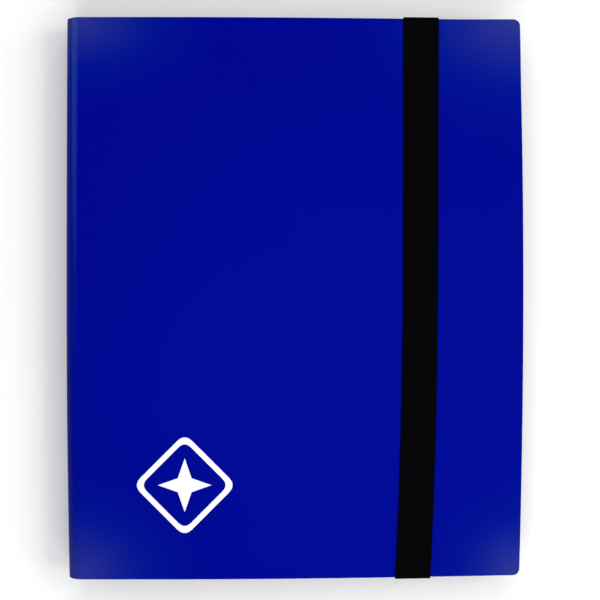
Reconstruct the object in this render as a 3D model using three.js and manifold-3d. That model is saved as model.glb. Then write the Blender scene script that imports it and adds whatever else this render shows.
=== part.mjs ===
// Trading card album: one scored polypropylene sheet forms the covers and the spine, it
// holds a block of thin pocket leaves, and an elastic strap keeps it shut.
// Millimetres. +Z is up, the album lies shut on its back cover, its spine is at -X, its
// fore edge at +X and its head at +Y. Lengths along X are counted from the spine's outer
// face, and the finished group is moved so that its box is centred over the origin.
import * as THREE from "three";
import { mergeVertices } from "three/addons/utils/BufferGeometryUtils.js";
import Module from "manifold-3d";

// Cover sheet
const COVER_WIDTH = 260;
const COVER_LENGTH = 316;
const SHEET = 1.3;
const SPINE_HEIGHT = 24;
const BEND_RADIUS = 9;
const CORNER_RADIUS = 3.75;
const FORE_BOW = 2.7; // the fore edge stands this much further out at its middle
const DROP_START = 60; // from here the front cover bends down to the fore edge
const FORE_DROP = 9;
const FORE_TWIST = 1.5; // its fore edge drops this much less at the head, more at the foot

// Leaves
const LEAF_COUNT = 20;
const LEAF_THICKNESS = 0.3;
const LEAF_LENGTH = 298;
const LEAF_START = 14;
const LEAF_END = 252;
const LEAF_CORNER = 3;
const FIRST_LEAF_HEIGHT = 1.75; // middle of the lowest leaf
const PITCH_AT_SPINE = 1.04;
const PITCH_AT_FORE = 0.56;

// Binding
const LINER_THICKNESS = 0.8;
const LINER_HEIGHT = 9;
const BINDING_BACK = 1; // thickness of the welded back that joins the margins
const ROOT_PITCH = 0.45; // spacing of the margins where they leave the welded back
const MARGIN_THICKNESS = 0.3;
const BINDING_LENGTH = 290;

// Strap and its anchors
const STRAP_X = 201.2;
const STRAP_WIDTH = 20;
const STRAP_THICKNESS = 1;
const STRAP_BEND = 0.9;
const STRAP_DRIFT = 4.6; // the strap wanders this far towards the spine at the foot
const DRIFT_START = 100; // it runs straight from the head down to this Y
const TAIL_LENGTH = 7.5;
const CLAMP_WALL = 1.2;
const CLAMP_TOP = 0.8;
const CLAMP_LENGTH = 6;
const CLAMP_INSET = 1; // from the cover's edge

const GAP = 0.3; // clearance between neighbouring pieces

const half = COVER_LENGTH / 2;
const wasm = await Module();
wasm.setup();

// Height of the front cover's outer face: level by the spine, curving down further out.
function frontHeight(x, y) {
  const t = Math.max(0, (x - DROP_START) / (COVER_WIDTH - DROP_START));
  const drop = FORE_DROP - (FORE_TWIST * y) / half;
  return SPINE_HEIGHT - (drop * t * t * (3 - t)) / 2;
}

// How far the strap's middle line lies from STRAP_X at a given Y.
function strapDrift(y) {
  const t = Math.max(0, (DRIFT_START - y) / (DRIFT_START + half));
  return -STRAP_DRIFT * t ** 3;
}

function shapeOf(points) {
  return new THREE.Shape(points.map(([a, b]) => new THREE.Vector2(a, b)));
}

// A flat plate: an XY outline, its lower face at Z = 0.
function plate(points, thickness) {
  const options = { depth: thickness, bevelEnabled: false };
  return new THREE.ExtrudeGeometry(shapeOf(points), options);
}

// An XZ outline swept along Y, centred on Y = 0.
function alongY(points, length) {
  return plate(points, length).rotateX(Math.PI / 2).translate(0, length / 2, 0);
}

// A YZ outline swept along X, centred on X = 0.
function alongX(points, length) {
  const swept = plate(points, length).translate(0, 0, -length / 2);
  return swept.rotateY(Math.PI / 2).rotateX(Math.PI / 2);
}

function arc(cx, cy, radius, from, to, steps) {
  return Array.from({ length: steps + 1 }, (_, i) => {
    const a = from + ((to - from) * i) / steps;
    return [cx + radius * Math.cos(a), cy + radius * Math.sin(a)];
  });
}

function solidOf(geometry) {
  const flat = geometry.index ? geometry.toNonIndexed() : geometry;
  const bare = new THREE.BufferGeometry();
  bare.setAttribute("position", flat.getAttribute("position"));
  const merged = mergeVertices(bare, 1e-4);
  const mesh = new wasm.Mesh({
    numProp: 3,
    vertProperties: merged.attributes.position.array,
    triVerts: new Uint32Array(merged.index.array),
  });
  return new wasm.Manifold(mesh);
}

function geometryOf(solid) {
  const mesh = solid.getMesh();
  const geometry = new THREE.BufferGeometry();
  const position = new THREE.BufferAttribute(mesh.vertProperties, mesh.numProp);
  geometry.setAttribute("position", position);
  geometry.setIndex(new THREE.BufferAttribute(mesh.triVerts, 1));
  geometry.computeVertexNormals();
  return geometry;
}

// Outline of a cover panel: straight where it meets its bend, with rounded fore corners
// and a fore edge that bows outwards.
function coverOutline() {
  const start = BEND_RADIUS + GAP / 2;
  const foreX = (y) => COVER_WIDTH - FORE_BOW * (y / half) ** 2;
  const cornerY = half - CORNER_RADIUS;
  const cornerX = foreX(cornerY) - CORNER_RADIUS;
  const steps = 16;
  const bow = Array.from({ length: steps - 1 }, (_, i) => {
    const y = cornerY * ((2 * (i + 1)) / steps - 1);
    return [foreX(y), y];
  });
  return [
    [start, -half],
    ...arc(cornerX, -cornerY, CORNER_RADIUS, -Math.PI / 2, 0, 6),
    ...bow,
    ...arc(cornerX, cornerY, CORNER_RADIUS, 0, Math.PI / 2, 6),
    [start, half],
  ];
}

function backCover() {
  return plate(coverOutline(), SHEET);
}

// The front panel has the back panel's outline, cut from a sheet with the curved section
// and then given its slight twist.
function frontCover() {
  const steps = 24;
  const outer = Array.from({ length: steps + 1 }, (_, i) => {
    const x = DROP_START + ((COVER_WIDTH + 2 - DROP_START) * i) / steps;
    return [x, frontHeight(x, 0)];
  });
  outer.unshift([0, SPINE_HEIGHT]);
  const inner = outer.map(([x, z]) => [x, z - SHEET]).reverse();
  const sheet = solidOf(alongY([...outer, ...inner], COVER_LENGTH + 2));
  const outline = solidOf(plate(coverOutline(), SPINE_HEIGHT + 2));
  const geometry = geometryOf(sheet.intersect(outline));
  const p = geometry.getAttribute("position");
  for (let i = 0; i < p.count; i++) {
    const twist = frontHeight(p.getX(i), p.getY(i)) - frontHeight(p.getX(i), 0);
    p.setZ(i, p.getZ(i) + twist);
  }
  geometry.computeVertexNormals();
  return geometry;
}

// A quarter-round bend of the sheet, just clear of the two panels it joins. `from` is the
// angle at which the quarter starts about the bend's centre.
function bend(centreZ, from) {
  const trim = GAP / 2 / BEND_RADIUS;
  const a = from + trim;
  const b = from + Math.PI / 2 - trim;
  const outer = arc(BEND_RADIUS, centreZ, BEND_RADIUS, a, b, 10);
  const inner = arc(BEND_RADIUS, centreZ, BEND_RADIUS - SHEET, b, a, 10);
  return alongY([...outer, ...inner], COVER_LENGTH);
}

function box(x0, x1, z0, z1, length) {
  return alongY([[x0, z0], [x1, z0], [x1, z1], [x0, z1]], length);
}

function spine() {
  const low = BEND_RADIUS + GAP / 2;
  return box(0, SHEET, low, SPINE_HEIGHT - low, COVER_LENGTH);
}

function spineLiner() {
  const x = SHEET + GAP;
  const middle = SPINE_HEIGHT / 2;
  const rise = LINER_HEIGHT / 2;
  return box(x, x + LINER_THICKNESS, middle - rise, middle + rise, BINDING_LENGTH);
}

function leafHeightAtSpine(i) {
  return FIRST_LEAF_HEIGHT + i * PITCH_AT_SPINE;
}

// The welded margins: an upright back with one thin margin running to each leaf.
function leafBinding() {
  const x0 = SHEET + LINER_THICKNESS + 2 * GAP;
  const x1 = x0 + BINDING_BACK;
  const x2 = LEAF_START - GAP;
  const middle = SPINE_HEIGHT / 2;
  const rise = LINER_HEIGHT / 2;
  const t = MARGIN_THICKNESS / 2;
  const teeth = [];
  for (let i = 0; i < LEAF_COUNT; i++) {
    const root = middle + (i - (LEAF_COUNT - 1) / 2) * ROOT_PITCH;
    const tip = leafHeightAtSpine(i);
    teeth.push([x1, root - t], [x2, tip - t], [x2, tip + t], [x1, root + t]);
  }
  const back = [[x1, middle + rise], [x0, middle + rise], [x0, middle - rise]];
  return alongY([...back, [x1, middle - rise], ...teeth], BINDING_LENGTH);
}

// One leaf: a thin plate with rounded fore corners, tilted to its share of the wedge.
function leaf(i) {
  const y = LEAF_LENGTH / 2;
  const cornerX = LEAF_END - LEAF_START - LEAF_CORNER;
  const cornerY = y - LEAF_CORNER;
  const outline = [
    [0, -y],
    ...arc(cornerX, -cornerY, LEAF_CORNER, -Math.PI / 2, 0, 4),
    ...arc(cornerX, cornerY, LEAF_CORNER, 0, Math.PI / 2, 4),
    [0, y],
  ];
  const fall = i * (PITCH_AT_SPINE - PITCH_AT_FORE);
  const tilt = Math.asin(fall / (LEAF_END - LEAF_START));
  const body = plate(outline, LEAF_THICKNESS).translate(0, 0, -LEAF_THICKNESS / 2);
  return body.rotateY(tilt).translate(LEAF_START, 0, leafHeightAtSpine(i));
}

// The strap: its tails lie inside the back cover, its arms rise past the head and foot
// edges, and its run lies on the front cover.
function strapBand() {
  const tailZ = SHEET + GAP + STRAP_THICKNESS / 2;
  const runZ = frontHeight(STRAP_X, 0) + GAP + STRAP_THICKNESS / 2;
  const armY = half + GAP + STRAP_THICKNESS / 2;
  const lowY = armY - STRAP_BEND;
  const lowZ = tailZ + STRAP_BEND;
  const highZ = runZ - STRAP_BEND;
  const halfTurn = (radius) => [
    [half - TAIL_LENGTH, tailZ - radius + STRAP_BEND],
    ...arc(lowY, lowZ, radius, -Math.PI / 2, 0, 5),
    ...arc(lowY, highZ, radius, 0, Math.PI / 2, 5),
  ];
  const runSteps = 28;
  const side = (radius) => {
    const head = halfTurn(radius);
    const foot = head.map(([y, z]) => [-y, z]).reverse();
    const z = runZ - STRAP_BEND + radius;
    const run = Array.from({ length: runSteps - 1 }, (_, i) => {
      return [lowY * (1 - (2 * (i + 1)) / runSteps), z];
    });
    return [...head, ...run, ...foot];
  };
  const outer = side(STRAP_BEND + STRAP_THICKNESS / 2);
  const inner = side(STRAP_BEND - STRAP_THICKNESS / 2).reverse();
  const geometry = alongX([...outer, ...inner], STRAP_WIDTH);
  const p = geometry.getAttribute("position");
  for (let i = 0; i < p.count; i++) {
    const y = p.getY(i);
    const z = p.getZ(i);
    const share = Math.min(1, Math.max(0, (z - lowZ) / (highZ - lowZ)));
    const anchor = strapDrift(Math.sign(y) * half);
    const drift = anchor + share * (strapDrift(y) - anchor);
    const x = STRAP_X + p.getX(i) + drift;
    const lift = frontHeight(x, y) - frontHeight(STRAP_X, 0);
    p.setXYZ(i, x, y, z + share * lift);
  }
  geometry.computeVertexNormals();
  return geometry;
}

// A bridge over one tail of the strap, standing on the back cover. `end` is 1 at the head
// and -1 at the foot.
function strapClamp(end) {
  const inside = STRAP_WIDTH / 2 + GAP;
  const outside = inside + CLAMP_WALL;
  const floor = SHEET + GAP;
  const roof = floor + STRAP_THICKNESS + GAP;
  const top = roof + CLAMP_TOP;
  const outline = [
    [-outside, floor],
    [-inside, floor],
    [-inside, roof],
    [inside, roof],
    [inside, floor],
    [outside, floor],
    [outside, top],
    [-outside, top],
  ];
  const y = end * (half - CLAMP_INSET - CLAMP_LENGTH / 2);
  const x = STRAP_X + strapDrift(end * half);
  return alongY(outline, CLAMP_LENGTH).translate(x, y, 0);
}

function material(colour, roughness, metalness = 0) {
  return new THREE.MeshStandardMaterial({ color: colour, roughness, metalness });
}

const root = new THREE.Group();
root.name = "trading_card_album";
root.position.x = -COVER_WIDTH / 2;

function add(name, geometry, look) {
  const mesh = new THREE.Mesh(geometry, look);
  mesh.name = name;
  root.add(mesh);
}

const coverBlue = () => material(0x010e9a, 0.4);
const leafBlack = () => material(0x15161a, 0.5);

add("back_cover", backCover(), coverBlue());
add("front_cover", frontCover(), coverBlue());
add("spine", spine(), coverBlue());
add("back_bend", bend(BEND_RADIUS, Math.PI), coverBlue());
add("front_bend", bend(SPINE_HEIGHT - BEND_RADIUS, Math.PI / 2), coverBlue());
add("spine_liner", spineLiner(), material(0x101014, 0.7));
add("leaf_binding", leafBinding(), material(0x101014, 0.7));
for (let i = 0; i < LEAF_COUNT; i++) {
  add("leaf_" + String(i + 1).padStart(2, "0"), leaf(i), leafBlack());
}
add("strap_band", strapBand(), material(0x060606, 0.85));
add("strap_clamp_head", strapClamp(1), material(0x8c8f94, 0.4, 1));
add("strap_clamp_foot", strapClamp(-1), material(0x8c8f94, 0.4, 1));

export default root;
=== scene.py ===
"""Looks of a trading card album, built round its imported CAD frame. Metres, +Z up.

The album lies shut on its back cover, with its spine at -X and its head at +Y. Every piece
is made flat, as it is cut, and then folded into place, and it keeps its flat coordinates in
a point attribute, so that its surface pattern bends with it.
"""

import math

import bmesh
import bpy
import numpy as np
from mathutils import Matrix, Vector


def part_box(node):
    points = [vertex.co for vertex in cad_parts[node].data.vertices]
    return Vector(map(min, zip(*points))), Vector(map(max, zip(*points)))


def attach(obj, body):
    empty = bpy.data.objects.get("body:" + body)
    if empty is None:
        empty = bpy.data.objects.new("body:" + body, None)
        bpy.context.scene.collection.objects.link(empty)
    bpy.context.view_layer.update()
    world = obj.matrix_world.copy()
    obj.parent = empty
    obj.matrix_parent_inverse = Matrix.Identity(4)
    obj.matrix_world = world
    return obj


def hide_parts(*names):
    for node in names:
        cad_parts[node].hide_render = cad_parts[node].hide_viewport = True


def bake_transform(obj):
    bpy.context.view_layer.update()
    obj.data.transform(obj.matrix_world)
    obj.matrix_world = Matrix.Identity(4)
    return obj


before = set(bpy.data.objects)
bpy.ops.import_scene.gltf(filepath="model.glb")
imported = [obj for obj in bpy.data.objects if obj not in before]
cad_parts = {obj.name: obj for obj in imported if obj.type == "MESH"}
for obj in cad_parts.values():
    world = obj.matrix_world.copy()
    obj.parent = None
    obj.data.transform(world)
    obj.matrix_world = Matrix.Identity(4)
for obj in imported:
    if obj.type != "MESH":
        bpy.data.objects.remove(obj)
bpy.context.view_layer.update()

MM = 0.001

# Cover sheet, from the frame
SPINE_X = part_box("spine")[0].x
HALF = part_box("spine")[1].y
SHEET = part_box("back_cover")[1].z
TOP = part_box("front_cover")[1].z
FORE_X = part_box("front_cover")[1].x
FORE_DROP = 9 * MM  # the front cover bends down this much at its fore edge
FORE_TWIST = 1.5 * MM  # a little less at the head and more at the foot
CURL_HEIGHT = 2 * MM  # the head corner of the fore edge curls back up
CURL_REACH = 45 * MM
BEND_RADIUS = 9 * MM
CORNER_RADIUS = 3.75 * MM
FORE_BOW_HEAD = 2.7 * MM  # the fore edge stands this much further out at its middle
FORE_BOW_FOOT = 2.2 * MM
BOW_REACH = 40 * MM  # how far in from the fore edge its bow is felt
DROP_START = SPINE_X + 60 * MM
EDGE_ROUND = 0.3 * MM
SPINE_BOW_HEAD = 0.5 * MM  # the spine curves in by this much at the head
SPINE_BOW_FOOT = 1.75 * MM
SPINE_BOW_REACH = 30 * MM

# Lengths along the flat half sheet, from the middle of the spine
MID_RADIUS = BEND_RADIUS - SHEET / 2  # of the middle of the sheet in a bend
WALL = TOP / 2 - BEND_RADIUS  # half of the spine's flat height
PANEL_START = WALL + MID_RADIUS * math.pi / 2
SHEET_END = PANEL_START + FORE_X - SPINE_X - BEND_RADIUS

# Spacing of the points that follow each shape
WALL_PITCH = 2 * MM
ARC_PITCH = 0.42 * MM
PANEL_PITCH = 6 * MM
ROW_PITCH = 8 * MM

# Corners with a painted pale reflection haze: 1 at the fore edge or 0 at the spine, 1 at the head
# or -1 at the foot, and how far each haze reaches along X and along Y
PAINTED_HAZE_CORNERS = (
    (0, 1, 60 * MM, 34 * MM),
    (1, 1, 70 * MM, 45 * MM),
    (0, -1, 55 * MM, 43 * MM),
    (1, -1, 42 * MM, 38 * MM),
)

# Strap, from the frame
STRAP_X = (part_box("strap_clamp_head")[0].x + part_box("strap_clamp_head")[1].x) / 2
STRAP_WIDTH = 20 * MM
STRAP_THICKNESS = 0.8 * MM
STRAP_BEND = 0.9 * MM
STRAP_GAP = 0.3 * MM  # under the tails
REST_GAP = STRAP_GAP / 3  # under the run and the arms, which press on the covers
STRAP_DRIFT = STRAP_X - (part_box("strap_clamp_foot")[0].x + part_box("strap_clamp_foot")[1].x) / 2
DRIFT_START = 100 * MM
TAIL_LENGTH = 7.5 * MM
RIB_PITCH = 0.9 * MM
RIB_DEPTH = 0.07 * MM
WEFT_PITCH = 0.55 * MM
SELVEDGE = 0.35 * MM  # plain edge beside the outermost rib
EDGE_ROUNDING = 0.1 * MM
ARM_PITCH = 1.2 * MM
RUN_PITCH = 1.5 * MM
STRAP_BEND_STEP = 0.2  # radians between points in its bends

# Strap clamps, which are pressed from one strip
CLAMP_WALL = 1.2 * MM
CLAMP_TOP = 0.8 * MM
CLAMP_SHOULDER = 0.6 * MM
SHOULDER_INSET = 1.6 * MM  # the flat top starts this far in from the side
GROOVE_INSET = 1.5 * MM  # each crimp groove stops this far short of the side
GROOVE_DEPTH = 0.3 * MM
CLAMP_STATIONS = (0, 0.15, 0.3, 0.36, 0.42, 0.58, 0.64, 0.7, 0.85, 1)  # shares of its length
GROOVED_STATIONS = (3, 6)

# Leaves, from the frame
LEAF_COUNT = 20
LEAF_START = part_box("leaf_01")[0].x
LEAF_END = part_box("leaf_01")[1].x
LEAF_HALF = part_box("leaf_01")[1].y
LEAF_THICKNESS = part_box("leaf_01")[1].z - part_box("leaf_01")[0].z
LEAF_CORNER = 3 * MM
LEAF_CORE = LEAF_THICKNESS / 2 * 0.45  # half thickness of the bare backing sheet
ROOT_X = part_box("leaf_binding")[0].x + 1 * MM
ROOT_PITCH = 0.45 * MM
LINER_TRIM = 0.15 * MM  # chamfer along the strips inside the spine
LINER_PITCH = 2 * MM
WELD_RIDGE = 0.15 * MM
BINDING_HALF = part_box("leaf_binding")[1].y
POCKET_COLUMNS = 3
POCKET_ROWS = 3
POCKET_LEFT = LEAF_START + 20 * MM
POCKET_MARGIN = 4 * MM
POCKET_RIGHT = LEAF_END - POCKET_MARGIN
POCKET_HALF = LEAF_HALF - POCKET_MARGIN
SWELL_REACH = 12 * MM  # the film is at its fullest this far from the welds
MARGIN_PITCH = 1.2 * MM
PLAIN_PITCH = 5 * MM  # between the margin and the first pocket
WELD_HALF = 0.9 * MM
MOUTH = 6 * MM  # the film of each pocket starts this far out from the weld on its spine side
FILM_STEP = 0.4 * MM
FILM_SWELL = 0.08 * MM  # the pocket film stands this much proud of the plain leaf

# Printed mark
MARK_CENTRE = Vector((-62 * MM, -105 * MM))
MARK_RADIUS = 29 * MM
MARK_LINE = 3 * MM
MARK_CORNER = 6 * MM
STAR_OUTER = 15 * MM
STAR_INNER = 5.5 * MM
MARK_PITCH = 3 * MM
INK = 0.05 * MM


def smooth(t):
    """Smoothstep of a value, held between 0 and 1."""
    t = min(1.0, max(0.0, t))
    return t * t * (3 - 2 * t)


def front_height(x, y):
    """Height of the front cover's outer face."""
    t = max(0.0, (x - DROP_START) / (FORE_X - DROP_START))
    drop = FORE_DROP - FORE_TWIST * y / HALF
    away = math.hypot(FORE_X - x, HALF - y) / CURL_REACH
    return TOP - drop * t * t * (3 - t) / 2 + CURL_HEIGHT * smooth(1 - away)


def spine_bow(x, y):
    """How far the curved spine carries a point in from the flat one."""
    depth = SPINE_BOW_HEAD if y > 0 else SPINE_BOW_FOOT
    return depth * (y / HALF) ** 2 * (1 - smooth((x - SPINE_X) / SPINE_BOW_REACH))


def strap_drift(y):
    """How far the strap's middle line lies from STRAP_X."""
    t = max(0.0, (DRIFT_START - y) / (DRIFT_START + HALF))
    return -STRAP_DRIFT * t**3


def steps(start, end, pitch):
    """Evenly spaced values from start to end, about pitch apart, both ends included."""
    count = max(1, round(abs(end - start) / pitch))
    return [start + (end - start) * i / count for i in range(count + 1)]


# ---- mesh helpers ----


def finish_mesh(bm, name, placed, material, sharp=12):
    """Turns a flat bmesh into an object: it keeps the flat coordinates of its points, which
    then move to placed, a list of their places in the album. Edges are sharp from the angle
    sharp, in degrees."""
    bmesh.ops.recalc_face_normals(bm, faces=bm.faces)
    mesh = bpy.data.meshes.new(name)
    bm.to_mesh(mesh)
    bm.free()
    flat = np.zeros(len(mesh.vertices) * 3, np.float32)
    mesh.vertices.foreach_get("co", flat)
    attribute = mesh.attributes.new("flat", "FLOAT_VECTOR", "POINT")
    attribute.data.foreach_set("vector", flat)
    mesh.vertices.foreach_set("co", np.array(placed, np.float32).ravel())
    mesh.shade_smooth()
    mesh.set_sharp_from_angle(angle=math.radians(sharp))
    mesh.update()
    mesh.materials.append(material)
    piece = bpy.data.objects.new(name, mesh)
    bpy.context.scene.collection.objects.link(piece)
    return piece


def thicken(bm, thickness):
    """Raises every face of a flat bmesh into a slab."""
    made = bmesh.ops.extrude_face_region(bm, geom=bm.faces[:])["geom"]
    raised = [v for v in made if isinstance(v, bmesh.types.BMVert)]
    bmesh.ops.translate(bm, verts=raised, vec=(0, 0, thickness))
    bmesh.ops.recalc_face_normals(bm, faces=bm.faces)


def loft(bm, rings):
    """A closed solid through rings of points, with its two ends capped."""
    rings = [[bm.verts.new(p) for p in ring] for ring in rings]
    for a, b in zip(rings, rings[1:]):
        for i in range(len(a)):
            j = (i + 1) % len(a)
            bm.faces.new((a[i], a[j], b[j], b[i]))
    bm.faces.new(rings[0])
    bm.faces.new(list(reversed(rings[-1])))


def corner_arc(cx, cy, radius, quarter, count=8):
    """Points strictly inside a quarter arc that starts at quarter times 90 degrees."""
    angles = [math.pi / 2 * (quarter + i / count) for i in range(1, count)]
    return [(cx + radius * math.cos(a), cy + radius * math.sin(a)) for a in angles]


def sheet_blank(columns, rows, thickness, rim):
    """A flat sheet with rounded corners at its far end, bevelled along its rim but not
    where it starts, where its other half joins it."""
    bm = bmesh.new()
    last, top = len(columns) - 1, len(rows) - 1
    grid = {}
    for i, s in enumerate(columns):
        for j, y in enumerate(rows):
            if i < last or j not in (0, top):
                grid[i, j] = bm.verts.new((s, y, 0))
    radius = columns[last] - columns[last - 1]
    arcs = {
        (last, 0): corner_arc(columns[last - 1], rows[1], radius, -1),
        (last, top): corner_arc(columns[last - 1], rows[top - 1], radius, 0),
    }
    for i in range(last):
        for j in range(top):
            ring = []
            for key in ((i, j), (i + 1, j), (i + 1, j + 1), (i, j + 1)):
                if key in grid:
                    ring.append(grid[key])
                else:
                    ring.extend(bm.verts.new((*p, 0)) for p in arcs[key])
            bm.faces.new(ring)
    thicken(bm, thickness)
    start = columns[0] + 1e-7
    edges = [
        e
        for e in bm.edges
        if e.calc_face_angle(0) > math.radians(60) and max(v.co.x for v in e.verts) > start
    ]
    bmesh.ops.bevel(
        bm, geom=edges, offset=rim, offset_type="OFFSET", segments=3, profile=0.5,
        affect="EDGES",
    )
    return bm


# ---- materials ----


class Nodes:
    """A node material under construction, with the piece's flat coordinates at hand."""

    def __init__(self, name):
        self.material = bpy.data.materials.new(name)
        self.material.use_nodes = True
        self.tree = self.material.node_tree
        self.shader = self.tree.nodes["Principled BSDF"]
        self.flat = self.add("ShaderNodeAttribute", attribute_name="flat").outputs["Vector"]

    def add(self, kind, inputs=(), **settings):
        node = self.tree.nodes.new(kind)
        for key, value in settings.items():
            setattr(node, key, value)
        for key, value in dict(inputs).items():
            self.set(node.inputs[key], value)
        return node

    def set(self, socket, value):
        if isinstance(value, bpy.types.NodeSocket):
            self.tree.links.new(value, socket)
        else:
            socket.default_value = value

    def stretch(self, x, y, z):
        """The flat coordinates scaled along each axis."""
        node = self.add("ShaderNodeMapping", {"Vector": self.flat, "Scale": (x, y, z)})
        return node.outputs["Vector"]

    def noise(self, vector, scale, detail=3.0, roughness=0.5):
        """Soft noise, with scale in cells per unit of the vector."""
        inputs = {"Vector": vector, "Scale": scale, "Detail": detail, "Roughness": roughness}
        return self.add("ShaderNodeTexNoise", inputs).outputs["Fac"]

    def wave(self, vector, scale, direction):
        inputs = {"Vector": vector, "Scale": scale, "Distortion": 0.4, "Detail": 1.0}
        settings = {"bands_direction": direction, "wave_profile": "SIN"}
        return self.add("ShaderNodeTexWave", inputs, **settings).outputs["Fac"]

    def ramp(self, value, low, high, to_low=0.0, to_high=1.0):
        """value carried from the range low..high to the range to_low..to_high."""
        inputs = {"Value": value, "From Min": low, "From Max": high}
        inputs.update({"To Min": to_low, "To Max": to_high})
        node = self.add("ShaderNodeMapRange", inputs, interpolation_type="SMOOTHSTEP")
        return node.outputs["Result"]

    def math(self, operation, a, b=0.0):
        node = self.add("ShaderNodeMath", operation=operation)
        self.set(node.inputs[0], a)
        self.set(node.inputs[1], b)
        return node.outputs["Value"]

    def mix(self, share, a, b):
        """Colour a where share is 0 and b where it is 1."""
        node = self.add("ShaderNodeMix", data_type="RGBA")
        self.set(node.inputs["Factor"], share)
        self.set(node.inputs[6], a)
        self.set(node.inputs[7], b)
        return node.outputs[2]

    def bump(self, height, distance, strength, under=None):
        inputs = {"Height": height, "Distance": distance, "Strength": strength}
        if under is not None:
            inputs["Normal"] = under
        return self.add("ShaderNodeBump", inputs).outputs["Normal"]

    def look(self, **inputs):
        """Sets the shader's sockets, with _ for a space in their names."""
        for key, value in inputs.items():
            self.set(self.shader.inputs[key.replace("_", " ")], value)
        return self.material


def distance_from(nodes, x, y, x_scale=1.0, y_scale=1.0):
    """Distance of the flat coordinates from a point, with each axis scaled."""
    parts = nodes.add("ShaderNodeSeparateXYZ", {"Vector": nodes.flat})
    dx = nodes.math("MULTIPLY", nodes.math("SUBTRACT", parts.outputs["X"], x), x_scale)
    dy = nodes.math("MULTIPLY", nodes.math("SUBTRACT", parts.outputs["Y"], y), y_scale)
    square = nodes.math("ADD", nodes.math("MULTIPLY", dx, dx), nodes.math("MULTIPLY", dy, dy))
    return nodes.math("SQRT", square)


def cover_material(name, length):
    """Deep blue polypropylene with a fine satin grain. Its colour carries painted light: brighter
    round a spot near the middle, darker towards its rim, and a painted pale reflection haze at its
    corners. The sheet runs from 0 to length along flat X."""
    nodes = Nodes(name)
    cloud = nodes.noise(nodes.flat, 9.0, 2.0)
    # Painted light: the blue is brighter round a spot near the middle of the panel and darker
    # towards the rim, as if lit above the middle; the cloud adds random tone.
    middle = nodes.ramp(distance_from(nodes, length * 0.5, -35 * MM), 0.0, 0.2, 1.0, 0.0)
    middle = nodes.math("ADD", middle, nodes.ramp(cloud, 0.3, 0.7, -0.06, 0.06))
    colour = nodes.mix(middle, (0.0002, 0.0004, 0.240, 1), (0.0002, 0.0016, 0.272, 1))
    patchy = nodes.ramp(nodes.noise(nodes.flat, 60.0, 4.0, 0.6), 0.2, 0.8, 0.8, 1.0)
    # Painted reflection haze at the corners: a faint greener tint spread wide, and a pale patchy
    # haze close in.
    wide_haze = 0.0
    close_haze = 0.0
    for x, y, along, across in PAINTED_HAZE_CORNERS:
        place = length if x else WALL + MID_RADIUS * 0.6
        away = distance_from(nodes, place, y * HALF, 1 / along, 1 / across)
        near = nodes.math("MAXIMUM", nodes.math("SUBTRACT", 1.0, away), 0.0)
        wide_haze = nodes.math("MAXIMUM", wide_haze, nodes.ramp(away, 0.0, 1.6, 1.0, 0.0))
        close_haze = nodes.math("MAXIMUM", close_haze, nodes.math("MULTIPLY", near, near))
    colour = nodes.mix(wide_haze, colour, (0.0004, 0.0080, 0.255, 1))
    colour = nodes.mix(nodes.math("MULTIPLY", close_haze, patchy), colour, (0.030, 0.035, 0.235, 1))
    pebble = nodes.noise(nodes.flat, 900.0, 3.0)
    grain = nodes.noise(nodes.flat, 2600.0, 2.0)
    normal = nodes.bump(pebble, 0.008 * MM, 0.5)
    normal = nodes.bump(grain, 0.004 * MM, 0.5, normal)
    rough = nodes.ramp(cloud, 0.3, 0.7, 0.20, 0.23)
    return nodes.look(
        Base_Color=colour, Roughness=rough, Normal=normal, IOR=1.49,
        Specular_Tint=(0.05, 0.33, 1.0, 1),
    )


def ink_material():
    """White screen ink: matt, with the faint unevenness of a printed layer."""
    nodes = Nodes("white_ink")
    mottle = nodes.noise(nodes.flat, 700.0, 4.0)
    colour = nodes.mix(mottle, (0.86, 0.85, 0.86, 1), (0.95, 0.94, 0.95, 1))
    rough = nodes.ramp(mottle, 0.3, 0.7, 0.45, 0.6)
    normal = nodes.bump(nodes.noise(nodes.flat, 3000.0, 2.0), 0.01 * MM, 0.6)
    return nodes.look(Base_Color=colour, Roughness=rough, Normal=normal)


def strap_material():
    """Black woven elastic: rubber-cored ribs along it, crossed by fine weft threads. The
    crests of the ribs and threads carry painted light, paler than the painted shade in the grooves
    between them."""
    nodes = Nodes("woven_elastic")
    weft = nodes.wave(nodes.flat, 1 / WEFT_PITCH / math.tau, "Y")
    fuzz = nodes.noise(nodes.flat, 5000.0, 3.0)
    parts = nodes.add("ShaderNodeSeparateXYZ", {"Vector": nodes.flat})
    depth = nodes.math("ABSOLUTE", parts.outputs["Z"])
    crest = nodes.ramp(depth, STRAP_THICKNESS / 2 - RIB_DEPTH, STRAP_THICKNESS / 2)
    threads = nodes.math("MULTIPLY", weft, 0.7)
    height = nodes.math("ADD", threads, nodes.math("MULTIPLY", fuzz, 0.3))
    # Painted light and shade: the crests of the ribs and raised threads are paler, the grooves
    # darker.
    painted_relief_light = nodes.math("MULTIPLY", crest, nodes.ramp(height, 0.2, 0.9, 0.3, 1.0))
    colour = nodes.mix(painted_relief_light, (0.0002, 0.0002, 0.0004, 1), (0.0028, 0.0026, 0.0034, 1))
    normal = nodes.bump(height, 0.08 * MM, 0.9)
    return nodes.look(
        Base_Color=colour, Roughness=0.95, Normal=normal, Specular_IOR_Level=0.02,
    )


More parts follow.
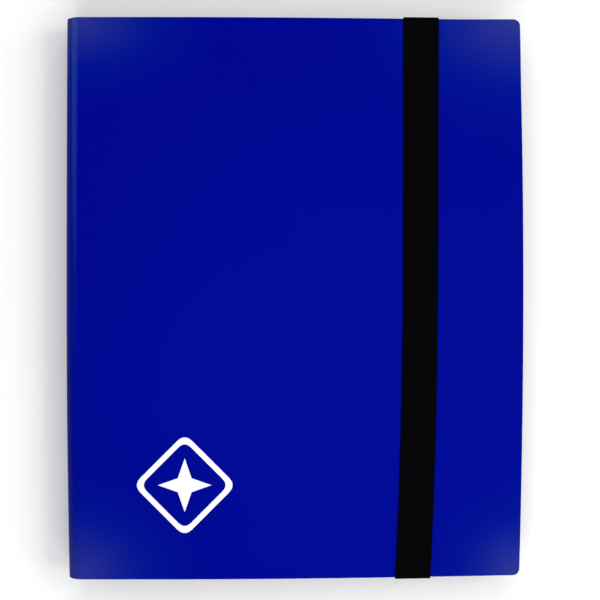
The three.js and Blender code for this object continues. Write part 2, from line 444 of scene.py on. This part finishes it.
def film_material():
    """Clear pocket film over a black backing sheet, which is bare and dull where the leaf
    is thin: at the welds, at the pockets' mouths and along the rim."""
    nodes = Nodes("pocket_film")
    cloud = nodes.noise(nodes.flat, 30.0, 3.0)
    parts = nodes.add("ShaderNodeSeparateXYZ", {"Vector": nodes.flat})
    depth = nodes.math("ABSOLUTE", parts.outputs["Z"])
    film = nodes.ramp(depth, LEAF_CORE * 1.1, LEAF_CORE * 1.6)
    stipple = nodes.noise(nodes.flat, 2200.0, 2.0)
    backing = nodes.mix(stipple, (0.009, 0.009, 0.010, 1), (0.020, 0.020, 0.023, 1))
    clear = nodes.mix(cloud, (0.010, 0.011, 0.013, 1), (0.013, 0.014, 0.016, 1))
    ripple = nodes.noise(nodes.stretch(18.0, 45.0, 18.0), 1.0, 3.0)
    normal = nodes.bump(ripple, 0.6 * MM, 0.5)
    normal = nodes.bump(stipple, 0.02 * MM, 0.4, normal)
    return nodes.look(
        Base_Color=nodes.mix(film, backing, clear), Normal=normal,
        Roughness=nodes.ramp(film, 0.0, 1.0, 0.6, 0.26),
        Coat_Weight=nodes.math("MULTIPLY", film, 0.3), Coat_Roughness=0.18,
    )


def liner_material():
    """Black welded polypropylene strip with a cross-hatched weld pattern."""
    nodes = Nodes("welded_liner")
    hatch = nodes.math(
        "MULTIPLY", nodes.wave(nodes.flat, 120.0, "Y"), nodes.wave(nodes.flat, 120.0, "Z")
    )
    fine = nodes.noise(nodes.flat, 1500.0, 3.0)
    colour = nodes.mix(fine, (0.006, 0.006, 0.008, 1), (0.012, 0.012, 0.015, 1))
    normal = nodes.bump(hatch, 0.2 * MM, 0.8)
    rough = nodes.ramp(fine, 0.3, 0.7, 0.5, 0.65)
    return nodes.look(Base_Color=colour, Roughness=rough, Normal=normal)


def steel_material():
    """Pressed steel with the fine lines of rolling, dulled in patches."""
    nodes = Nodes("pressed_steel")
    lines = nodes.noise(nodes.stretch(300.0, 9000.0, 300.0), 1.0, 2.0)
    stain = nodes.noise(nodes.flat, 400.0, 3.0)
    colour = nodes.mix(stain, (0.36, 0.36, 0.37, 1), (0.52, 0.52, 0.54, 1))
    rough = nodes.ramp(stain, 0.3, 0.7, 0.28, 0.42)
    normal = nodes.bump(lines, 0.01 * MM, 0.6)
    return nodes.look(Base_Color=colour, Metallic=1.0, Roughness=rough, Normal=normal)


# ---- cover sheet ----


def section(s, y, drops):
    """Middle of the sheet and its outward normal in XZ at one Y, s along it from the middle
    of the spine to the fore edge of the front cover."""
    if s <= WALL:
        return (SPINE_X + SHEET / 2, TOP / 2 + s), (-1, 0)
    if s <= PANEL_START:
        a = (s - WALL) / MID_RADIUS
        x = SPINE_X + BEND_RADIUS - MID_RADIUS * math.cos(a)
        z = TOP - BEND_RADIUS + MID_RADIUS * math.sin(a)
        return (x, z), (-math.cos(a), math.sin(a))
    x = SPINE_X + BEND_RADIUS + s - PANEL_START
    if not drops:
        return (x, TOP - SHEET / 2), (0, 1)
    slope = (front_height(x - MM, y) - front_height(x + MM, y)) / (2 * MM)
    length = math.hypot(slope, 1)
    return (x, front_height(x, y) - SHEET / 2), (slope / length, 1 / length)


def fold(p, front):
    """Carries a point of the flat half sheet (s, y, depth) to its place in the album."""
    s, y, depth = p
    reach = smooth((s - SHEET_END + BOW_REACH) / BOW_REACH)
    s -= (FORE_BOW_HEAD if y > 0 else FORE_BOW_FOOT) * (y / HALF) ** 2 * reach
    (x, z), (nx, nz) = section(s, y, front)
    x += nx * (depth - SHEET / 2)
    z += nz * (depth - SHEET / 2)
    return x + spine_bow(x, y), y, z if front else TOP - z


def cover_half(name, front, material):
    """Half of the cover sheet: half of the spine, one bend and one panel."""
    columns = steps(0, WALL, WALL_PITCH)[:-1] + steps(WALL, PANEL_START, ARC_PITCH)[:-1]
    columns += steps(PANEL_START, SHEET_END - CORNER_RADIUS, PANEL_PITCH) + [SHEET_END]
    inner = HALF - CORNER_RADIUS
    rows = [-HALF, *steps(-inner, inner, ROW_PITCH), HALF]
    bm = sheet_blank(columns, rows, SHEET, EDGE_ROUND)
    placed = [fold(v.co, front) for v in bm.verts]
    piece = finish_mesh(bm, name, placed, material)
    if front:
        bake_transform(piece)
        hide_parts("front_cover", "front_bend", "spine")
    else:
        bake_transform(piece)
        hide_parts("back_cover", "back_bend")


# ---- printed mark ----


def rounded_polygon(corners, radius, count=5):
    """A closed outline with its corners rounded off."""
    outline = []
    for i, corner in enumerate(corners):
        before = (corners[i - 1] - corner).normalized()
        after = (corners[(i + 1) % len(corners)] - corner).normalized()
        a, b = corner + before * radius, corner + after * radius
        for k in range(count + 1):
            t = k / count
            outline.append(a * (1 - t) ** 2 + corner * 2 * t * (1 - t) + b * t**2)
    return outline


def star(points, outer, inner):
    """Corners of a star, its first point straight up."""
    count = 2 * points
    radii = [outer if i % 2 == 0 else inner for i in range(count)]
    angles = [math.pi / 2 + 2 * math.pi * i / count for i in range(count)]
    return [Vector((r * math.cos(a), r * math.sin(a))) for r, a in zip(radii, angles)]


def split_long(outline, pitch):
    """The outline with its long sides divided, so that it can follow a curved surface."""
    out = []
    for a, b in zip(outline, outline[1:] + outline[:1]):
        count = max(1, math.ceil((b - a).length / pitch))
        out.extend(a.lerp(b, k / count) for k in range(count))
    return out


def ink_band(bm, corners, width, radius):
    """An outline of even width, drawn as a closed flat band."""
    outer = split_long(rounded_polygon(corners, radius), MARK_PITCH)
    centre = sum(corners, Vector((0, 0))) / len(corners)
    size = (corners[0] - centre).length
    shrink = 1 - width * math.sqrt(2) / size
    ring = [[bm.verts.new((*(centre + (p - centre) * k), 0)) for p in outer] for k in (1, shrink)]
    count = len(outer)
    for i in range(count):
        j = (i + 1) % count
        bm.faces.new((ring[0][i], ring[0][j], ring[1][j], ring[1][i]))


def ink_fan(bm, corners):
    """A filled star, as triangles round its centre."""
    outline = split_long(corners, MARK_PITCH)
    centre = bm.verts.new((0, 0, 0))
    rim = [bm.verts.new((*p, 0)) for p in outline]
    for a, b in zip(rim, rim[1:] + rim[:1]):
        bm.faces.new((centre, a, b))


def printed_mark(material):
    """A plain lozenge outline round a four-pointed star, in white ink."""
    bm = bmesh.new()
    lozenge = [Vector(p) * MARK_RADIUS for p in ((0, 1), (-1, 0), (0, -1), (1, 0))]
    ink_band(bm, lozenge, MARK_LINE, MARK_CORNER)
    ink_fan(bm, star(4, STAR_OUTER, STAR_INNER))
    thicken(bm, INK)
    placed = []
    for v in bm.verts:
        x, y = MARK_CENTRE.x + v.co.x, MARK_CENTRE.y + v.co.y
        placed.append((x, y, front_height(x, y) + v.co.z))
    piece = finish_mesh(bm, "printed_mark", placed, material)
    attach(piece, "front_cover")


# ---- strap ----


def strap_path():
    """Middle line of the strap in YZ with its normals: head tail, arm, run, arm, tail."""
    tail_z = SHEET + STRAP_GAP + STRAP_THICKNESS / 2
    run_z = front_height(STRAP_X, 0) + REST_GAP + STRAP_THICKNESS / 2
    arm_y = HALF + REST_GAP + STRAP_THICKNESS / 2
    low_y, low_z, high_z = arm_y - STRAP_BEND, tail_z + STRAP_BEND, run_z - STRAP_BEND
    head = [(y, tail_z, 0, -1) for y in steps(HALF - TAIL_LENGTH, low_y, MM)[:-1]]
    for a in steps(-math.pi / 2, 0, STRAP_BEND_STEP):
        c, s = math.cos(a), math.sin(a)
        head.append((low_y + STRAP_BEND * c, low_z + STRAP_BEND * s, c, s))
    head += [(arm_y, z, 1, 0) for z in steps(low_z, high_z, ARM_PITCH)[1:-1]]
    for a in steps(0, math.pi / 2, STRAP_BEND_STEP):
        c, s = math.cos(a), math.sin(a)
        head.append((low_y + STRAP_BEND * c, high_z + STRAP_BEND * s, c, s))
    foot = [(-y, z, -ny, nz) for y, z, ny, nz in reversed(head)]
    run = [(y, run_z, 0, 1) for y in steps(low_y, -low_y, RUN_PITCH)[1:-1]]
    return head + run + foot, low_z, high_z


def strap_section():
    """Outline of the strap's cross-section (across, through), with its woven ribs."""
    half, thick = STRAP_WIDTH / 2, STRAP_THICKNESS / 2
    across = steps(-half + SELVEDGE, half - SELVEDGE, RIB_PITCH / 4)
    ribs = [thick - RIB_DEPTH * (1 - abs(math.sin(math.pi * u / RIB_PITCH))) for u in across]
    upper = list(zip(across, ribs))
    shoulder = half - EDGE_ROUNDING
    edge = [(shoulder, thick * 0.55), (half, 0), (shoulder, -thick * 0.55)]
    lower = [(u, -v) for u, v in reversed(upper)]
    return upper + edge + lower + [(-u, -v) for u, v in edge]


def strap_piece(material):
    """The whole strap, its section swept along its path and carried over by its drift."""
    path, low_z, high_z = strap_path()
    outline = strap_section()
    rings = []
    placed = []
    length = 0.0
    for k, (y, z, ny, nz) in enumerate(path):
        if k:
            length += math.hypot(y - path[k - 1][0], z - path[k - 1][1])
        share = min(1.0, max(0.0, (z - low_z) / (high_z - low_z)))
        anchor = strap_drift(math.copysign(HALF, y))
        drift = anchor + share * (strap_drift(y) - anchor)
        rings.append([(u, length, v) for u, v in outline])
        for u, v in outline:
            x = STRAP_X + drift + u
            lift = share * (front_height(x, y) - front_height(STRAP_X, 0))
            placed.append((x, y + ny * v, z + nz * v + lift))
    bm = bmesh.new()
    loft(bm, rings)
    piece = finish_mesh(bm, "elastic_strap", placed, material, sharp=50)
    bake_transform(piece)
    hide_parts("strap_band")


def clamp_piece(node, material):
    """A pressed bridge over a strap tail, with rounded shoulders and two crimp grooves."""
    low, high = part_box(node)
    roof = high.z - CLAMP_TOP
    shoulder = CLAMP_SHOULDER
    centre = (low.x + high.x) / 2
    half = (high.x - low.x) / 2
    arc = [math.pi / 2 * i / 4 for i in range(5)]
    right = [(half - CLAMP_WALL, roof), (half - CLAMP_WALL, low.z), (half, low.z)]
    right += [
        (half - shoulder + shoulder * math.cos(a), high.z - shoulder + shoulder * math.sin(a))
        for a in arc
    ]
    right += [(half - SHOULDER_INSET, high.z)]
    outline = right + [(-u, z) for u, z in reversed(right)]
    length = high.y - low.y
    rings = []
    for k, t in enumerate(CLAMP_STATIONS):
        dip = GROOVE_DEPTH if k in GROOVED_STATIONS else 0.0
        ring = []
        for u, z in outline:
            pressed = dip if z > roof and abs(u) < half - GROOVE_INSET else 0.0
            ring.append((u, t * length, z - pressed))
        rings.append(ring)
    bm = bmesh.new()
    loft(bm, rings)
    placed = [(centre + v.co.x, low.y + v.co.y, v.co.z) for v in bm.verts]
    piece = finish_mesh(bm, node.replace("strap_clamp", "crimp"), placed, material, 40)
    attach(piece, "back_cover")
    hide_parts(node)


# ---- binding and leaves ----


def upright_bar(name, node, material, ridge):
    """A strip along the inside of the spine, its free face ridged by the weld."""
    low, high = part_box(node)
    high.x = min(high.x, ROOT_X)
    trim = LINER_TRIM
    rings = []
    for k, y in enumerate(steps(low.y, high.y, LINER_PITCH)):
        face = high.x - (ridge if k % 2 else 0.0)
        bottom, top = low.z, high.z
        if node == "leaf_binding":
            bottom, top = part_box("spine_liner")[0].z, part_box("spine_liner")[1].z
        rings.append([
            (low.x, y, bottom), (face - trim, y, bottom), (face, y, bottom + trim),
            (face, y, top - trim), (face - trim, y, top), (low.x, y, top),
        ])
    bm = bmesh.new()
    loft(bm, rings)
    placed = [(v.co.x + spine_bow(v.co.x, v.co.y), v.co.y, v.co.z) for v in bm.verts]
    piece = finish_mesh(bm, name, placed, material)
    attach(piece, "spine")
    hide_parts(node)


def pocket_lines(start, end, count, mouth=()):
    """Coordinates across a row of pockets, close together at each weld and mouth."""
    pitch = (end - start) / count
    near = [0, WELD_HALF, 2 * WELD_HALF, 4 * WELD_HALF]
    within = [*near, *mouth, pitch / 3, pitch / 2, pitch * 2 / 3]
    within += [pitch - d for d in near[:0:-1]]
    return [start + i * pitch + d for i in range(count) for d in within] + [end]


def weld_distance(value, start, end, count):
    """Distance to the nearest weld line, negative outside the row of pockets."""
    if value <= start or value >= end:
        return -1.0
    pitch = (end - start) / count
    offset = (value - start) % pitch
    return min(offset, pitch - offset)


def leaf_half_thickness(x, y):
    """Thin at the welds, the mouths and the rim, full over each pocket."""
    full = LEAF_THICKNESS / 2 + FILM_SWELL
    pitch = (POCKET_RIGHT - POCKET_LEFT) / POCKET_COLUMNS
    if (x - POCKET_LEFT) % pitch < MOUTH + FILM_STEP / 2:
        return LEAF_CORE
    across = weld_distance(x, POCKET_LEFT, POCKET_RIGHT, POCKET_COLUMNS)
    along = weld_distance(y, -POCKET_HALF, POCKET_HALF, POCKET_ROWS)
    rise = smooth((min(across, along) - WELD_HALF) / WELD_HALF)
    swell = smooth(min(across, along) / SWELL_REACH)
    return LEAF_CORE + (full - LEAF_CORE) * (0.55 * rise + 0.45 * rise * swell)


def round_corner(x, y):
    """Carries the square fore corners of a leaf onto a round one."""
    dx = (x - (LEAF_END - LEAF_CORNER)) / LEAF_CORNER
    dy = (abs(y) - (LEAF_HALF - LEAF_CORNER)) / LEAF_CORNER
    if dx <= 0 or dy <= 0:
        return x, y
    k = max(dx, dy) / math.hypot(dx, dy)
    x = LEAF_END - LEAF_CORNER + dx * k * LEAF_CORNER
    y = math.copysign(LEAF_HALF - LEAF_CORNER + dy * k * LEAF_CORNER, y)
    return x, y


def leaf_columns():
    """Where the points of a leaf lie along X, from its root to the fore edge."""
    mouth = (MOUTH, MOUTH + FILM_STEP)
    margin = steps(ROOT_X, LEAF_START, MARGIN_PITCH)
    plain = steps(LEAF_START, POCKET_LEFT, PLAIN_PITCH)[1:-1]
    pockets = pocket_lines(POCKET_LEFT, POCKET_RIGHT, POCKET_COLUMNS, mouth)
    rim = [LEAF_END - LEAF_CORNER, LEAF_END - LEAF_CORNER / 2, LEAF_END]
    return margin + plain + pockets + rim


def leaf_rows():
    """Where the points of a leaf lie along Y, from foot to head."""
    rim = [LEAF_HALF, LEAF_HALF - LEAF_CORNER / 2, LEAF_HALF - LEAF_CORNER]
    pockets = pocket_lines(-POCKET_HALF, POCKET_HALF, POCKET_ROWS)
    return [-y for y in rim] + pockets + rim[::-1]


def rim_of_grid(across, along):
    """Keys of the outermost points of a grid, in order round it."""
    keys = [(i, 0) for i in range(across)]
    keys += [(across - 1, j) for j in range(1, along)]
    keys += [(i, along - 1) for i in range(across - 2, -1, -1)]
    return keys + [(0, j) for j in range(along - 2, 0, -1)]


def leaf_side(bm, columns, rows, side):
    """Points of one face of a flat leaf, side 1 upwards and -1 downwards."""
    return [
        [bm.verts.new((*round_corner(x, y), side * leaf_half_thickness(x, y))) for y in rows]
        for x in columns
    ]


def leaf_blank():
    """A flat leaf with its margin, closed along its rim."""
    bm = bmesh.new()
    columns = leaf_columns()
    rows = leaf_rows()
    upper = leaf_side(bm, columns, rows, 1)
    lower = leaf_side(bm, columns, rows, -1)
    for i in range(len(columns) - 1):
        for j in range(len(rows) - 1):
            for grid in (upper, lower):
                bm.faces.new((grid[i][j], grid[i + 1][j], grid[i + 1][j + 1], grid[i][j + 1]))
    rim = rim_of_grid(len(columns), len(rows))
    for (i, j), (m, n) in zip(rim, rim[1:] + rim[:1]):
        bm.faces.new((upper[i][j], upper[m][n], lower[m][n], lower[i][j]))
    return bm


def leaf_place(p, root, at_spine, at_fore):
    """Carries a point of the flat leaf into the album. Its margin curves from the height
    root to the height at_spine, and the leaf slopes on from there to at_fore."""
    x, y, depth = p
    margin = smooth((x - ROOT_X) / (LEAF_START - ROOT_X))
    if x < LEAF_START:
        z = root + (at_spine - root) * margin
    else:
        z = at_spine + (at_fore - at_spine) * (x - LEAF_START) / (LEAF_END - LEAF_START)
    y *= 1 + (BINDING_HALF / LEAF_HALF - 1) * (1 - margin)
    return x + spine_bow(x, y), y, z + depth


def leaf_piece(number, material):
    """One leaf with its welded margin: black core, and film pockets on both sides."""
    node = f"leaf_{number:02d}"
    low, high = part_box(node)
    at_spine = high.z - LEAF_THICKNESS / 2
    at_fore = low.z + LEAF_THICKNESS / 2
    root = TOP / 2 + (number - (LEAF_COUNT + 1) / 2) * ROOT_PITCH
    bm = leaf_blank()
    placed = [leaf_place(v.co, root, at_spine, at_fore) for v in bm.verts]
    piece = finish_mesh(bm, f"pocket_leaf_{number:02d}", placed, material, sharp=60)
    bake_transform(piece)
    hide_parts(node)


# ---- studio ----


def floor():
    """A pale table under the album, kept out of the reflections in it."""
    bm = bmesh.new()
    size = 4.0
    corners = [(-size, -size), (size, -size), (size, size), (-size, size)]
    bm.faces.new([bm.verts.new((x, y, -0.2 * MM)) for x, y in corners])
    mesh = bpy.data.meshes.new("floor")
    bm.to_mesh(mesh)
    bm.free()
    nodes = Nodes("pale_floor")
    cloud = nodes.noise(nodes.flat, 2.0)
    colour = nodes.mix(cloud, (0.90, 0.90, 0.90, 1), (0.92, 0.92, 0.92, 1))
    mesh.materials.append(nodes.look(Base_Color=colour, Roughness=0.9, Specular_IOR_Level=0.1))
    piece = bpy.data.objects.new("floor", mesh)
    bpy.context.scene.collection.objects.link(piece)
    piece.visible_glossy = False


def softbox(name, place, size, power):
    """A soft rectangular light at a place, aimed at the album."""
    light = bpy.data.lights.new(name, "AREA")
    light.shape = "RECTANGLE"
    light.size, light.size_y = size
    light.energy = power
    lamp = bpy.data.objects.new(name, light)
    lamp.location = place
    lamp.rotation_euler = (-Vector(place)).to_track_quat("-Z", "Y").to_euler()
    bpy.context.scene.collection.objects.link(lamp)


def studio_light():
    """Softboxes on every side, low enough to keep their reflections off the covers."""
    softbox("left_box", (-1.6, 0.62, 1.1), (0.9, 1.4), 6.5)
    softbox("right_box", (1.6, 0.0, 1.3), (2.0, 1.2), 30)
    softbox("head_box", (0.0, 1.7, 1.2), (2.2, 1.1), 22)
    softbox("foot_box", (0.0, -1.7, 1.2), (2.2, 1.1), 33)


def studio_walls():
    """Dim even light from the walls and ceiling, under the softboxes."""
    world = bpy.data.worlds.new("studio")
    world.use_nodes = True
    bpy.context.scene.world = world
    background = world.node_tree.nodes["Background"]
    background.inputs["Color"].default_value = (1.0, 1.0, 1.0, 1)
    background.inputs["Strength"].default_value = 0.13


def top_camera():
    """Straight down on the front cover, with the head of the album upwards."""
    camera = bpy.data.cameras.new("camera")
    camera.sensor_width = 36
    camera.lens = 69.45
    camera.clip_start = 0.01
    eye = bpy.data.objects.new("camera", camera)
    eye.location = (2.75 * MM, -1.0 * MM, TOP + 650 * MM)
    bpy.context.scene.collection.objects.link(eye)
    bpy.context.scene.camera = eye


# ---- the scene ----

top_camera()
floor()
studio_light()
studio_walls()
bpy.context.scene.view_settings.view_transform = "Standard"

front_blue = cover_material("cover_blue_front", SHEET_END)
cover_half("cover_front", True, front_blue)
back_blue = cover_material("cover_blue_back", SHEET_END)
cover_half("cover_back", False, back_blue)
printed_mark(ink_material())
strap_piece(strap_material())
steel = steel_material()
clamp_piece("strap_clamp_head", steel)
clamp_piece("strap_clamp_foot", steel)
liner = liner_material()
upright_bar("spine_strip", "spine_liner", liner, 0.0)
upright_bar("welded_back", "leaf_binding", liner, WELD_RIDGE)
film = film_material()
for number in range(1, LEAF_COUNT + 1):
    leaf_piece(number, film)
